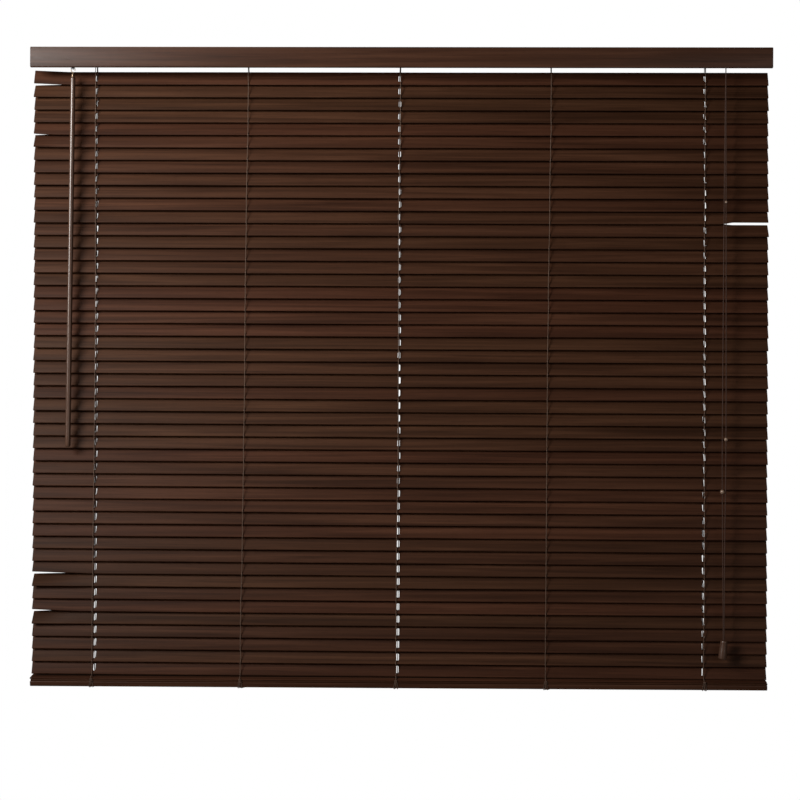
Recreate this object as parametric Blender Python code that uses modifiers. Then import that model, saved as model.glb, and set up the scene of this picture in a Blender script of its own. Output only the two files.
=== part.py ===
"""A horizontal slat blind with wooden slats, closed, hanging from its headrail.

Metres, +Z up. X runs along the slats, -Y is the room side and +Y the wall side.
The origin is the middle of the headrail's back face, where the blind is fastened.
"""

import math

import bmesh
import bpy
from mathutils import Matrix, Vector

# Slats
SLAT_COUNT = 48
SLAT_LENGTH = 1.255
SLAT_WIDTH = 0.025
SLAT_THICKNESS = 0.0028
SLAT_PITCH = 0.0215
SLAT_EDGE_RADIUS = 0.0013
CLOSED_ANGLE = math.radians(70)

# Ladders and cords
LADDER_COUNT = 5
LADDER_INSET = 0.1075
STRING_RADIUS = 0.0006
CORD_RADIUS = 0.0008
ROUTE_SLOT_WIDTH = 0.0042
ROUTE_SLOT_LENGTH = 0.0130
STRING_TAIL = 0.0155
TAIL_SLOPE = 0.25

# Bottom rail, with the two slats that lie stacked on it
RAIL_EXTRA_LENGTH = 0.001
RAIL_EXTRA_WIDTH = 0.0004
RAIL_HEIGHT = 0.0090
RAIL_EDGE_RADIUS = 0.0018
RAIL_TILT = math.radians(6)
STACKED_SLATS = 2
STACK_DROP = 0.0021
RUNG_WIDTH = 0.0030

# Headrail, a folded steel channel open at the top
HEADRAIL_SHORT_OF_SLATS = 0.005
HEADRAIL_DEEPER_THAN_SLATS = 0.008
HEADRAIL_HEIGHT = 0.024
HEADRAIL_WALL = 0.0008
HEADRAIL_LIP = 0.0040
FIRST_SLAT_DROP = 0.0225
LADDER_OPENING_ROOM = 0.0040
LADDER_OPENING_WIDTH = 0.0110

# Valance board
VALANCE_EXTRA_LENGTH = 0.001
VALANCE_HEIGHT = 0.0345
VALANCE_THICKNESS = 0.006
VALANCE_ABOVE_HEADRAIL = 0.0005
VALANCE_STAND_OFF = 0.011
VALANCE_EDGE_RADIUS = 0.0012

# Tilt rod, its drums and the tilter's wheel
ROD_SIDE = 0.0050
ROD_CLEARANCE = 0.0010
ROD_END_PAST_LADDER = 0.011
DRUM_HUB_CLEARANCE = 0.0006
DRUM_FLANGE_RADIUS = 0.0085
DRUM_GAP = 0.0036
DRUM_FLANGE = 0.0012
WHEEL_RADIUS = 0.0080
WHEEL_ROOT_RADIUS = 0.0066
WHEEL_WIDTH = 0.0060
WHEEL_TEETH = 12

# Tilter and cord lock
TILTER_INSET = 0.0700
CORD_LOCK_INSET = 0.0765
CONTROL_DEPTH = 0.0045
HOUSING_HALF_WIDTH = 0.012
NOSE_HALF_WIDTH = 0.008
NOSE_LENGTH = 0.0095
TILTER_BELOW_HEADRAIL_TOP = 0.0039
CORD_LOCK_HEIGHT = 0.0150
STEM_RADIUS = 0.0020
EYE_RADIUS = 0.0024
EYE_WIRE_RADIUS = 0.0008
EYE_BELOW_HEADRAIL = 0.009
CORD_CHANNEL_WIDTH = 0.0070

# Wand
WAND_LENGTH = 0.630
WAND_RADIUS = 0.0045
WAND_LEAN = math.radians(0.5)
HOOK_LENGTH = 0.0157
HOOK_HALF_WIDTH = 0.0032
HOOK_WIRE_RADIUS = 0.0007
HOOK_FERRULE_RADIUS = 0.0026
HOOK_FERRULE_LENGTH = 0.0060

# Pull cord and tassel; each sway is (share of the drop, distance to the right)
PULL_CORD_DROP = 0.975
CORD_BEND = 0.004
FIRST_STRAND_SWAY = ((0.235, 0.0015), (0.645, 0.0033), (0.82, 0.0022))
SECOND_STRAND_SWAY = ((0.235, -0.0017), (0.645, -0.0028), (0.745, -0.0024))
STRANDS_APART = 0.0012
TASSEL_HEIGHT = 0.0310
TASSEL_TOP_RADIUS = 0.0061
TASSEL_FOOT_RADIUS = 0.0073
TASSEL_SIDEWAYS = 0.0017
TASSEL_LEAN = math.radians(5)

# Sides of the round shapes, the steps along a curve between two of its points, and the fine gap
# between pieces that lie next to each other
SMALL_ROUND_SIDES = 16
LARGE_ROUND_SIDES = 20
ROUTE_STEPS = 6
GAP = 0.0003
WELD = 0.000001

# Sizes and places that follow from the ones above
RAIL_LENGTH = SLAT_LENGTH + RAIL_EXTRA_LENGTH
RAIL_WIDTH = SLAT_WIDTH + RAIL_EXTRA_WIDTH
HEADRAIL_LENGTH = SLAT_LENGTH - HEADRAIL_SHORT_OF_SLATS
HEADRAIL_DEPTH = SLAT_WIDTH + HEADRAIL_DEEPER_THAN_SLATS
VALANCE_LENGTH = SLAT_LENGTH + VALANCE_EXTRA_LENGTH
LADDER_SPACING = (SLAT_LENGTH - 2 * LADDER_INSET) / (LADDER_COUNT - 1)
LADDER_OPENING_LENGTH = SLAT_WIDTH + LADDER_OPENING_ROOM
TILTER_X = TILTER_INSET - SLAT_LENGTH / 2
CORD_LOCK_X = SLAT_LENGTH / 2 - CORD_LOCK_INSET
SLAT_Y = -HEADRAIL_DEPTH / 2
HEADRAIL_BOTTOM = -HEADRAIL_HEIGHT / 2
HEADRAIL_FLOOR = HEADRAIL_BOTTOM + HEADRAIL_WALL
FIRST_SLAT_Z = HEADRAIL_BOTTOM - FIRST_SLAT_DROP
LAST_SLAT_Z = FIRST_SLAT_Z - (SLAT_COUNT - 1) * SLAT_PITCH
SLAT_REACH = SLAT_WIDTH / 2 * math.sin(CLOSED_ANGLE) + SLAT_THICKNESS / 2 * math.cos(CLOSED_ANGLE)
STACK_HEIGHT = RAIL_HEIGHT + STACKED_SLATS * (SLAT_THICKNESS + GAP)
RAIL_Z = LAST_SLAT_Z - SLAT_REACH - STACK_DROP - STACK_HEIGHT / 2
EDGE_ARM = SLAT_WIDTH / 2 - SLAT_THICKNESS / 2
STRING_STAND_OFF = SLAT_THICKNESS / 2 + GAP + STRING_RADIUS
STRING_OUT = EDGE_ARM * math.cos(CLOSED_ANGLE) + STRING_STAND_OFF
STRING_TRAVEL = 2 * EDGE_ARM * math.sin(CLOSED_ANGLE)
RAIL_REACH = RAIL_WIDTH / 2 * math.cos(RAIL_TILT) + STACK_HEIGHT / 2 * math.sin(RAIL_TILT)
TAIL_OUT = RAIL_REACH + 2 * STRING_RADIUS
CONTROL_Y = -HEADRAIL_DEPTH - CONTROL_DEPTH
EYE_Z = HEADRAIL_BOTTOM - EYE_BELOW_HEADRAIL
NOSE_FRONT = -HEADRAIL_DEPTH - NOSE_LENGTH
TILTER_HEIGHT = HEADRAIL_HEIGHT / 2 - TILTER_BELOW_HEADRAIL_TOP - HEADRAIL_FLOOR - GAP
CORD_RUN_Z = HEADRAIL_FLOOR + CORD_RADIUS + 2 * GAP
ROD_Z = CORD_RUN_Z + CORD_RADIUS + ROD_CLEARANCE + DRUM_FLANGE_RADIUS
DRUM_HUB_RADIUS = STRING_OUT - STRING_RADIUS - DRUM_HUB_CLEARANCE
LADDER_X = [LADDER_SPACING * (i - (LADDER_COUNT - 1) / 2) for i in range(LADDER_COUNT)]
LIFT_X = LADDER_X[::2]


def clear_scene():
    for old in list(bpy.data.objects):
        bpy.data.objects.remove(old)


def make_collection(name):
    made = bpy.data.collections.new(name)
    bpy.context.scene.collection.children.link(made)
    return made


def make_material(name, colour, roughness, metallic=0.0):
    made = bpy.data.materials.new(name)
    made.use_nodes = True
    shader = made.node_tree.nodes["Principled BSDF"]
    shader.inputs["Base Color"].default_value = (*colour, 1.0)
    shader.inputs["Roughness"].default_value = roughness
    shader.inputs["Metallic"].default_value = metallic
    return made


def add_object(name, data, collection, location=(0, 0, 0)):
    made = bpy.data.objects.new(name, data)
    made.location = location
    collection.objects.link(made)
    return made


def box(name, low, high, collection):
    """A box between two corners, with its object's origin at the scene's origin."""
    low = Vector(low)
    high = Vector(high)
    mesh = bpy.data.meshes.new(name)
    bm = bmesh.new()
    place = Matrix.Translation((low + high) / 2) @ Matrix.Diagonal((*(high - low), 1))
    bmesh.ops.create_cube(bm, size=1, matrix=place)
    bm.to_mesh(mesh)
    bm.free()
    return add_object(name, mesh, collection)


def cylinder(name, radius, start, end, sides, collection):
    """A cylinder between two points."""
    start = Vector(start)
    end = Vector(end)
    mesh = bpy.data.meshes.new(name)
    bm = bmesh.new()
    turn = Vector((0, 0, 1)).rotation_difference(end - start).to_matrix().to_4x4()
    bmesh.ops.create_cone(
        bm,
        cap_ends=True,
        segments=sides,
        radius1=radius,
        radius2=radius,
        depth=(end - start).length,
        matrix=Matrix.Translation((start + end) / 2) @ turn,
    )
    bm.to_mesh(mesh)
    bm.free()
    return add_object(name, mesh, collection)


def bevel_edges(mesh, width, segments, chosen):
    """Rounds the edges for which chosen(edge) is true."""
    bm = bmesh.new()
    bm.from_mesh(mesh)
    edges = [edge for edge in bm.edges if chosen(edge)]
    bmesh.ops.bevel(
        bm,
        geom=edges,
        offset=width,
        segments=segments,
        profile=0.5,
        affect="EDGES",
        clamp_overlap=True,
    )
    bm.to_mesh(mesh)
    bm.free()


def runs_along_x(edge):
    """An edge at a profile's corner that runs the board's whole length."""
    along = edge.verts[1].co - edge.verts[0].co
    return abs(along.x) > 0.9 * along.length


def new_curve(name, points, closed):
    """A curve with straight spans through the points."""
    curve = bpy.data.curves.new(name, "CURVE")
    curve.dimensions = "3D"
    spline = curve.splines.new("POLY")
    spline.points.add(len(points) - 1)
    spline.use_cyclic_u = closed
    for place, point in zip(spline.points, points):
        place.co = (*point, 1)
    return curve


def welded_mesh(curve, collection):
    """The curve's surface as one closed mesh."""
    guide = add_object(curve.name + "_guide", curve, collection)
    mesh = baked_mesh(guide)
    bpy.data.objects.remove(guide)
    bm = bmesh.new()
    bm.from_mesh(mesh)
    bmesh.ops.remove_doubles(bm, verts=bm.verts, dist=WELD)
    bmesh.ops.recalc_face_normals(bm, faces=bm.faces)
    bm.to_mesh(mesh)
    bm.free()
    return mesh


def tube(name, points, radius, collection, closed=False):
    """A round tube through the points, either capped or closed into a ring."""
    curve = new_curve(name, points, closed)
    curve.bevel_depth = radius
    curve.bevel_resolution = 2
    curve.use_fill_caps = not closed
    return add_object(name, welded_mesh(curve, collection), collection)


def turned(name, profile, steps, collection):
    """A shape turned about Z from (radius, height) points that run down its outer side."""
    mesh = bpy.data.meshes.new(name)
    corners = [(radius, 0, height) for radius, height in profile]
    mesh.from_pydata(corners, [(i, i + 1) for i in range(len(corners) - 1)], [])
    made = add_object(name, mesh, collection)
    screw = made.modifiers.new("turn", "SCREW")
    screw.steps = steps
    screw.render_steps = steps
    screw.use_merge_vertices = True
    screw.merge_threshold = 0.00005
    return made


def baked_mesh(obj):
    graph = bpy.context.evaluated_depsgraph_get()
    return bpy.data.meshes.new_from_object(obj.evaluated_get(graph))


def combine(obj, others, operation, cutters):
    """Joins or cuts obj with each of the others, and bakes the result into its mesh."""
    for other in others:
        change = obj.modifiers.new(operation.lower(), "BOOLEAN")
        change.operation = operation
        change.solver = "EXACT"
        change.object = other
    mesh = baked_mesh(obj)
    obj.modifiers.clear()
    obj.data = mesh
    for other in others:
        for collection in list(other.users_collection):
            collection.objects.unlink(other)
        cutters.objects.link(other)
        other.hide_render = True
        other.display_type = "WIRE"
    return obj


def finish(obj, material, smooth=False):
    obj.data.materials.clear()
    obj.data.materials.append(material)
    if smooth:
        obj.data.shade_smooth()
        obj.data.set_sharp_from_angle(angle=math.radians(40))
    return obj


def smooth_route(points, steps):
    """Points along a Catmull-Rom curve through the given points."""
    knots = [Vector(point) for point in points]
    knots = [2 * knots[0] - knots[1], *knots, 2 * knots[-1] - knots[-2]]
    route = []
    for before, start, end, after in zip(knots, knots[1:], knots[2:], knots[3:]):
        for step in range(steps):
            t = step / steps
            slope_in = (end - before) / 2
            slope_out = (after - start) / 2
            a = 2 * t**3 - 3 * t**2 + 1
            b = t**3 - 2 * t**2 + t
            c = -2 * t**3 + 3 * t**2
            d = t**3 - t**2
            route.append(a * start + b * slope_in + c * end + d * slope_out)
    route.append(knots[-2])
    return route


def move_origin(obj, place):
    """Puts the object's origin at a point, leaving its shape where it is."""
    obj.data.transform(Matrix.Translation(-Vector(place)))
    obj.location = place


def route_cutters(name, length, half_height, cutters):
    """Upright slots for the lift cords, centred on height zero."""
    made = []
    for index, x in enumerate(LIFT_X):
        low = (x - ROUTE_SLOT_WIDTH / 2, -length / 2, -half_height)
        high = (x + ROUTE_SLOT_WIDTH / 2, length / 2, half_height)
        made.append(box(f"{name}_{index + 1}", low, high, cutters))
    return made


def make_slats(parts, cutters, wood):
    """The tilting slats: one mesh, placed front edge down at each height."""
    half = Vector((SLAT_LENGTH, SLAT_WIDTH, SLAT_THICKNESS)) / 2
    pattern = box("slat_pattern", -half, half, cutters)
    bevel_edges(pattern.data, SLAT_EDGE_RADIUS, 2, runs_along_x)
    slots = route_cutters("slat_slot", ROUTE_SLOT_LENGTH, SLAT_THICKNESS, cutters)
    combine(pattern, slots, "DIFFERENCE", cutters)
    finish(pattern, wood)
    for index in range(SLAT_COUNT):
        place = (0, SLAT_Y, FIRST_SLAT_Z - index * SLAT_PITCH)
        slat = add_object(f"slat_{index + 1:02d}", pattern.data, parts, place)
        slat.rotation_euler.x = CLOSED_ANGLE
    bpy.data.objects.remove(pattern)


def make_bottom_rail(parts, cutters, wood):
    """The rail and the slats stacked on it, held together by the lowest ladder rungs."""
    base = -STACK_HEIGHT / 2
    half_length = RAIL_LENGTH / 2
    half_width = RAIL_WIDTH / 2
    rail_top = base + RAIL_HEIGHT
    low = (-half_length, -half_width, base)
    high = (half_length, half_width, rail_top)
    rail = box("bottom_rail", low, high, parts)
    bevel_edges(rail.data, RAIL_EDGE_RADIUS, 2, runs_along_x)
    joined = []
    for index in range(STACKED_SLATS):
        low_z = rail_top + GAP + index * (SLAT_THICKNESS + GAP)
        low = (-SLAT_LENGTH / 2, -SLAT_WIDTH / 2, low_z)
        high = (SLAT_LENGTH / 2, SLAT_WIDTH / 2, low_z + SLAT_THICKNESS)
        layer = box(f"stacked_slat_{index + 1}", low, high, parts)
        bevel_edges(layer.data, SLAT_EDGE_RADIUS, 2, runs_along_x)
        joined.append(layer)
    rung_top = base + STACK_HEIGHT - SLAT_THICKNESS / 2
    for index, x in enumerate(LADDER_X):
        low = (x - 3 * RUNG_WIDTH, -SLAT_WIDTH / 4, rail_top - SLAT_THICKNESS / 2)
        high = (x - 2 * RUNG_WIDTH, SLAT_WIDTH / 4, rung_top)
        joined.append(box(f"stack_rung_{index + 1}", low, high, parts))
    combine(rail, joined, "UNION", cutters)
    slots = route_cutters("rail_slot", ROUTE_SLOT_LENGTH / 2, STACK_HEIGHT, cutters)
    combine(rail, slots, "DIFFERENCE", cutters)
    finish(rail, wood)
    rail.location = (0, SLAT_Y, RAIL_Z)
    rail.rotation_euler.x = RAIL_TILT


def make_headrail(parts, cutters, steel):
    """A channel with turned-in lips, open over each ladder and notched for the controls."""
    half = HEADRAIL_LENGTH / 2
    top = HEADRAIL_HEIGHT / 2
    profile = [
        (-HEADRAIL_LIP, top),
        (0, top),
        (0, HEADRAIL_BOTTOM),
        (-HEADRAIL_DEPTH, HEADRAIL_BOTTOM),
        (-HEADRAIL_DEPTH, top),
        (-HEADRAIL_DEPTH + HEADRAIL_LIP, top),
    ]
    corners = [(x, y, z) for y, z in profile for x in (-half, half)]
    faces = [(2 * i, 2 * i + 2, 2 * i + 3, 2 * i + 1) for i in range(len(profile) - 1)]
    mesh = bpy.data.meshes.new("headrail")
    mesh.from_pydata(corners, [], faces)
    rail = add_object("headrail", mesh, parts)
    fold = rail.modifiers.new("wall", "SOLIDIFY")
    fold.thickness = HEADRAIL_WALL
    fold.offset = 1
    fold.use_even_offset = True
    rail.data = baked_mesh(rail)
    rail.modifiers.clear()
    cuts = []
    for index, x in enumerate(LADDER_X):
        reach_x = LADDER_OPENING_WIDTH / 2
        reach_y = LADDER_OPENING_LENGTH / 2
        low = (x - reach_x, SLAT_Y - reach_y, HEADRAIL_BOTTOM - GAP)
        high = (x + reach_x, SLAT_Y + reach_y, HEADRAIL_FLOOR + GAP)
        cuts.append(box(f"ladder_opening_{index + 1}", low, high, cutters))
    reach = NOSE_HALF_WIDTH + GAP
    controls = (("tilter", TILTER_X, TILTER_HEIGHT), ("cord_lock", CORD_LOCK_X, CORD_LOCK_HEIGHT))
    for name, x, height in controls:
        low = (x - reach, -HEADRAIL_DEPTH - GAP, HEADRAIL_BOTTOM - GAP)
        high = (x + reach, -HEADRAIL_DEPTH + HEADRAIL_WALL + GAP, HEADRAIL_FLOOR + height + 2 * GAP)
        cuts.append(box(f"{name}_notch", low, high, cutters))
    combine(rail, cuts, "DIFFERENCE", cutters)
    finish(rail, steel)


def make_valance(parts, wood):
    """The board that hides the headrail, clipped in front of it."""
    back = -HEADRAIL_DEPTH - VALANCE_STAND_OFF
    top = HEADRAIL_HEIGHT / 2 + VALANCE_ABOVE_HEADRAIL
    low = (-VALANCE_LENGTH / 2, back - VALANCE_THICKNESS, top - VALANCE_HEIGHT)
    high = (VALANCE_LENGTH / 2, back, top)
    board = box("valance", low, high, parts)
    bevel_edges(board.data, VALANCE_EDGE_RADIUS, 2, runs_along_x)
    finish(board, wood)


def wheel_outline():
    """Corners of the worm wheel, four to a tooth: two at its root and two at its tip."""
    tooth_corners = (
        (0.0, WHEEL_ROOT_RADIUS),
        (0.3, WHEEL_ROOT_RADIUS),
        (0.45, WHEEL_RADIUS),
        (0.85, WHEEL_RADIUS),
    )
    outline = []
    for tooth in range(WHEEL_TEETH):
        for share, radius in tooth_corners:
            angle = 2 * math.pi * (tooth + share) / WHEEL_TEETH
            outline.append((radius * math.cos(angle), radius * math.sin(angle), 0))
    return outline


def make_wheel(collection):
    """The tilter's toothed wheel, a flat outline extruded to its width."""
    curve = new_curve("tilt_wheel", wheel_outline(), closed=True)
    curve.dimensions = "2D"
    curve.fill_mode = "BOTH"
    curve.extrude = WHEEL_WIDTH / 2
    mesh = welded_mesh(curve, collection)
    mesh.transform(Matrix.Translation((TILTER_X, 0, 0)) @ Matrix.Rotation(math.radians(90), 4, "Y"))
    return add_object("tilt_wheel", mesh, collection)


def make_tilt_rod(parts, cutters, steel):
    """The square rod with a drum over each ladder and the tilter's wheel on its end."""
    side = ROD_SIDE / 2
    start = TILTER_X - WHEEL_WIDTH
    end = LADDER_X[-1] + ROD_END_PAST_LADDER
    rod = box("tilt_rod", (start, -side, -side), (end, side, side), parts)
    joined = [make_wheel(parts)]
    reach = DRUM_GAP / 2 + DRUM_FLANGE
    for index, x in enumerate(LADDER_X):
        left = (x - reach, 0, 0)
        right = (x + reach, 0, 0)
        name = f"drum_hub_{index + 1}"
        joined.append(cylinder(name, DRUM_HUB_RADIUS, left, right, SMALL_ROUND_SIDES, parts))
        for side_name, outer in (("left", left), ("right", right)):
            inner = (x + math.copysign(DRUM_GAP / 2, outer[0] - x), 0, 0)
            name = f"drum_flange_{index + 1}_{side_name}"
            joined.append(cylinder(name, DRUM_FLANGE_RADIUS, inner, outer, LARGE_ROUND_SIDES, parts))
    combine(rod, joined, "UNION", cutters)
    finish(rod, steel, smooth=True)
    rod.location = (0, SLAT_Y, ROD_Z)


def make_tilter(parts, cutters, plastic):
    """The worm housing in the headrail, with its nose in front and the eye under it."""
    floor = HEADRAIL_FLOOR + GAP
    top = floor + TILTER_HEIGHT
    back = -HEADRAIL_WALL - GAP
    front = -HEADRAIL_DEPTH + HEADRAIL_WALL + GAP
    housing = box(
        "tilter",
        (TILTER_X - HOUSING_HALF_WIDTH, front, floor),
        (TILTER_X + HOUSING_HALF_WIDTH, back, top),
        parts,
    )
    nose = box(
        "tilter_nose",
        (TILTER_X - NOSE_HALF_WIDTH, NOSE_FRONT, floor),
        (TILTER_X + NOSE_HALF_WIDTH, front + GAP, top - GAP),
        parts,
    )
    stem_top = (TILTER_X, CONTROL_Y, floor + GAP)
    stem_foot = (TILTER_X, CONTROL_Y, EYE_Z + EYE_RADIUS - EYE_WIRE_RADIUS / 2)
    stem = cylinder("tilter_stem", STEM_RADIUS, stem_foot, stem_top, SMALL_ROUND_SIDES, parts)
    eye_route = []
    for step in range(SMALL_ROUND_SIDES):
        angle = 2 * math.pi * step / SMALL_ROUND_SIDES
        forward = EYE_RADIUS * math.cos(angle)
        eye_route.append((TILTER_X, CONTROL_Y + forward, EYE_Z + EYE_RADIUS * math.sin(angle)))
    eye = tube("tilter_eye", eye_route, EYE_WIRE_RADIUS, parts, closed=True)
    combine(housing, [nose, stem, eye], "UNION", cutters)
    wheel_room = WHEEL_RADIUS + 4 * GAP
    half_room = WHEEL_WIDTH / 2 + 4 * GAP
    axis_start = (TILTER_X - half_room, SLAT_Y, ROD_Z)
    axis_end = (TILTER_X + half_room, SLAT_Y, ROD_Z)
    pocket = cylinder("wheel_pocket", wheel_room, axis_start, axis_end, LARGE_ROUND_SIDES, cutters)
    mouth = box(
        "wheel_mouth",
        (TILTER_X - half_room, SLAT_Y - wheel_room, ROD_Z),
        (TILTER_X + half_room, SLAT_Y + wheel_room, top + GAP),
        cutters,
    )
    bore_start = (TILTER_X - 2 * HOUSING_HALF_WIDTH, SLAT_Y, ROD_Z)
    bore_end = (TILTER_X + 2 * HOUSING_HALF_WIDTH, SLAT_Y, ROD_Z)
    bore_radius = ROD_SIDE * math.sqrt(0.5) + 2 * GAP
    bore = cylinder("rod_bore", bore_radius, bore_start, bore_end, LARGE_ROUND_SIDES, cutters)
    combine(housing, [pocket, mouth, bore], "DIFFERENCE", cutters)
    finish(housing, plastic)


def make_cord_lock(parts, cutters, steel):
    """The lock that the lift cords turn through: a cover open underneath, with a nose in front."""
    floor = HEADRAIL_FLOOR + GAP
    top = floor + CORD_LOCK_HEIGHT
    back = SLAT_Y + CORD_CHANNEL_WIDTH
    front = -HEADRAIL_DEPTH + HEADRAIL_WALL + GAP
    cover = box(
        "cord_lock",
        (CORD_LOCK_X - HOUSING_HALF_WIDTH, front, floor),
        (CORD_LOCK_X + HOUSING_HALF_WIDTH, back, top),
        parts,
    )
    nose = box(
        "cord_lock_nose",
        (CORD_LOCK_X - NOSE_HALF_WIDTH, NOSE_FRONT, floor),
        (CORD_LOCK_X + NOSE_HALF_WIDTH, front + GAP, top - GAP),
        parts,
    )
    combine(cover, [nose], "UNION", cutters)
    half = CORD_CHANNEL_WIDTH / 2
    roof = CORD_RUN_Z + half
    way_in = box(
        "cord_way_in",
        (CORD_LOCK_X - 2 * HOUSING_HALF_WIDTH, SLAT_Y - half, floor - GAP),
        (CORD_LOCK_X + half, SLAT_Y + half, roof),
        cutters,
    )
    way_out = box(
        "cord_way_out",
        (CORD_LOCK_X - half, CONTROL_Y - half, floor - 2 * GAP),
        (CORD_LOCK_X + half, SLAT_Y, roof + GAP),
        cutters,
    )
    combine(cover, [way_in, way_out], "DIFFERENCE", cutters)
    finish(cover, steel)


def strand_route(top, sway, foot_x):
    """A hanging strand's route from the lock down to the tassel."""
    points = [top]
    for share, sideways in sway:
        points.append((CORD_LOCK_X + sideways, CONTROL_Y, HEADRAIL_BOTTOM - share * PULL_CORD_DROP))
    points.append((foot_x, CONTROL_Y, HEADRAIL_BOTTOM - PULL_CORD_DROP))
    return smooth_route(points, ROUTE_STEPS)


def make_lift_cords(parts, cutters, cord):
    """The lift cords, from the bottom rail through the slats and the lock to the tassel."""
    foot = RAIL_Z - STACK_HEIGHT / 2 + 2 * CORD_RADIUS
    run = CORD_RUN_Z
    bend = CORD_BEND
    start_x = LIFT_X[0]
    route = [
        (start_x, SLAT_Y, foot),
        (start_x, SLAT_Y, run - bend),
        (start_x + bend * 0.3, SLAT_Y, run - bend * 0.3),
        (start_x + bend, SLAT_Y, run),
        (CORD_LOCK_X - bend, SLAT_Y, run),
        (CORD_LOCK_X - bend * 0.3, SLAT_Y - bend * 0.3, run),
        (CORD_LOCK_X, SLAT_Y - bend, run),
        (CORD_LOCK_X, CONTROL_Y + bend * 0.6, run),
        (CORD_LOCK_X, CONTROL_Y + bend * 0.15, run - bend * 0.15),
    ]
    first_top = (CORD_LOCK_X, CONTROL_Y, run - bend * 0.6)
    second_top = (CORD_LOCK_X, CONTROL_Y, run - bend)
    foot_x = CORD_LOCK_X + TASSEL_SIDEWAYS
    first = strand_route(first_top, FIRST_STRAND_SWAY, foot_x)
    second = strand_route(second_top, SECOND_STRAND_SWAY, foot_x - STRANDS_APART)
    cords = tube("lift_cords", route + first, CORD_RADIUS, parts)
    joined = [tube("second_strand", second, CORD_RADIUS, parts)]
    for index, x in enumerate(LIFT_X[1:]):
        upright = [(x, SLAT_Y, foot), (x, SLAT_Y, run)]
        joined.append(tube(f"lift_cord_{index + 2}", upright, CORD_RADIUS, parts))
    combine(cords, joined, "UNION", cutters)
    finish(cords, cord, smooth=True)


def make_tassel(parts, wood):
    """A turned wooden tassel on the ends of the pull cords."""
    top_radius = TASSEL_TOP_RADIUS
    foot_radius = TASSEL_FOOT_RADIUS
    height = TASSEL_HEIGHT
    middle_radius = (top_radius + foot_radius) / 2
    profile = [
        (0, 0),
        (top_radius * 0.85, 0),
        (top_radius, -height * 0.04),
        (top_radius * 1.02, -height * 0.25),
        (middle_radius, -height * 0.60),
        (foot_radius, -height * 0.93),
        (foot_radius * 0.94, -height * 0.98),
        (foot_radius * 0.84, -height),
        (0, -height),
    ]
    tassel = turned("tassel", profile, LARGE_ROUND_SIDES, parts)
    below_cord = GAP + top_radius * math.sin(TASSEL_LEAN)
    top_z = HEADRAIL_BOTTOM - PULL_CORD_DROP - below_cord
    tassel.location = (CORD_LOCK_X + TASSEL_SIDEWAYS, CONTROL_Y, top_z)
    tassel.rotation_euler.y = TASSEL_LEAN
    finish(tassel, wood, smooth=True)


def make_wand_hook(parts, cutters, metal):
    """The wire hook that hangs in the tilter's eye, with the ferrule that the wand turns in."""
    reach = HOOK_HALF_WIDTH
    route = [
        (reach, -1.5 * reach),
        (reach, -0.5 * reach),
        (0.8 * reach, -0.12 * reach),
        (0.55 * reach, 0),
        (-0.55 * reach, 0),
        (-0.8 * reach, -0.12 * reach),
        (-reach, -0.5 * reach),
        (-reach, -1.5 * reach),
        (-0.5 * reach, -2.2 * reach),
        (0, -2.5 * reach),
        (0, -HOOK_LENGTH + HOOK_FERRULE_LENGTH / 2),
    ]
    hook = tube("wand_hook", [(x, 0, z) for x, z in route], HOOK_WIRE_RADIUS, parts)
    ferrule = cylinder(
        "hook_ferrule",
        HOOK_FERRULE_RADIUS,
        (0, 0, -HOOK_LENGTH),
        (0, 0, -HOOK_LENGTH + HOOK_FERRULE_LENGTH),
        SMALL_ROUND_SIDES,
        parts,
    )
    combine(hook, [ferrule], "UNION", cutters)
    finish(hook, metal, smooth=True)
    hook.location = (TILTER_X, CONTROL_Y, EYE_Z)
    hook.rotation_euler.y = WAND_LEAN


def make_wand(parts, wood):
    """The turned wand, on the line of its hook."""
    radius = WAND_RADIUS
    profile = [
        (0, 0),
        (radius * 0.6, 0),
        (radius * 0.9, -radius * 0.25),
        (radius, -radius * 0.8),
        (radius, -WAND_LENGTH + radius * 0.8),
        (radius * 0.9, -WAND_LENGTH + radius * 0.25),
        (radius * 0.6, -WAND_LENGTH),
        (0, -WAND_LENGTH),
    ]
    wand = turned("wand", profile, SMALL_ROUND_SIDES, parts)
    below_eye = HOOK_LENGTH + GAP
    top_x = TILTER_X - below_eye * math.sin(WAND_LEAN)
    wand.location = (top_x, CONTROL_Y, EYE_Z - below_eye * math.cos(WAND_LEAN))
    wand.rotation_euler.y = WAND_LEAN
    finish(wand, wood, smooth=True)


def make_ladder_string(name, side, parts, cord):
    """One string of the middle ladder, with its tail beside the stacked slats.

    The side is -1 at the room and +1 at the wall. The string hangs from the slats' edges, so it
    moves on an arc about the middle of slat_01's rounded edge, where its origin is.
    """
    x = LADDER_X[LADDER_COUNT // 2]
    lift = 0 if side < 0 else STRING_TRAVEL
    y = SLAT_Y + side * STRING_OUT
    tail_y = SLAT_Y + side * TAIL_OUT
    top = HEADRAIL_FLOOR + 2 * STRING_RADIUS + lift
    knee = LAST_SLAT_Z - SLAT_REACH + lift
    step_out = (tail_y - y) * 0.1
    tail_top = knee - (TAIL_OUT - STRING_OUT) * TAIL_SLOPE
    route = [
        (x, y, top),
        (x, y, knee + 2 * STRING_RADIUS),
        (x, y + step_out, knee + STRING_RADIUS),
        (x, tail_y - step_out, tail_top),
        (x, tail_y, tail_top - 2 * STRING_RADIUS),
        (x, tail_y, knee - STRING_TAIL),
    ]
    string = tube(name, route, STRING_RADIUS, parts)
    finish(string, cord, smooth=True)
    pivot_y = SLAT_Y + side * EDGE_ARM * math.cos(CLOSED_ANGLE)
    pivot_z = FIRST_SLAT_Z + side * EDGE_ARM * math.sin(CLOSED_ANGLE)
    move_origin(string, (0, pivot_y, pivot_z))


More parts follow.
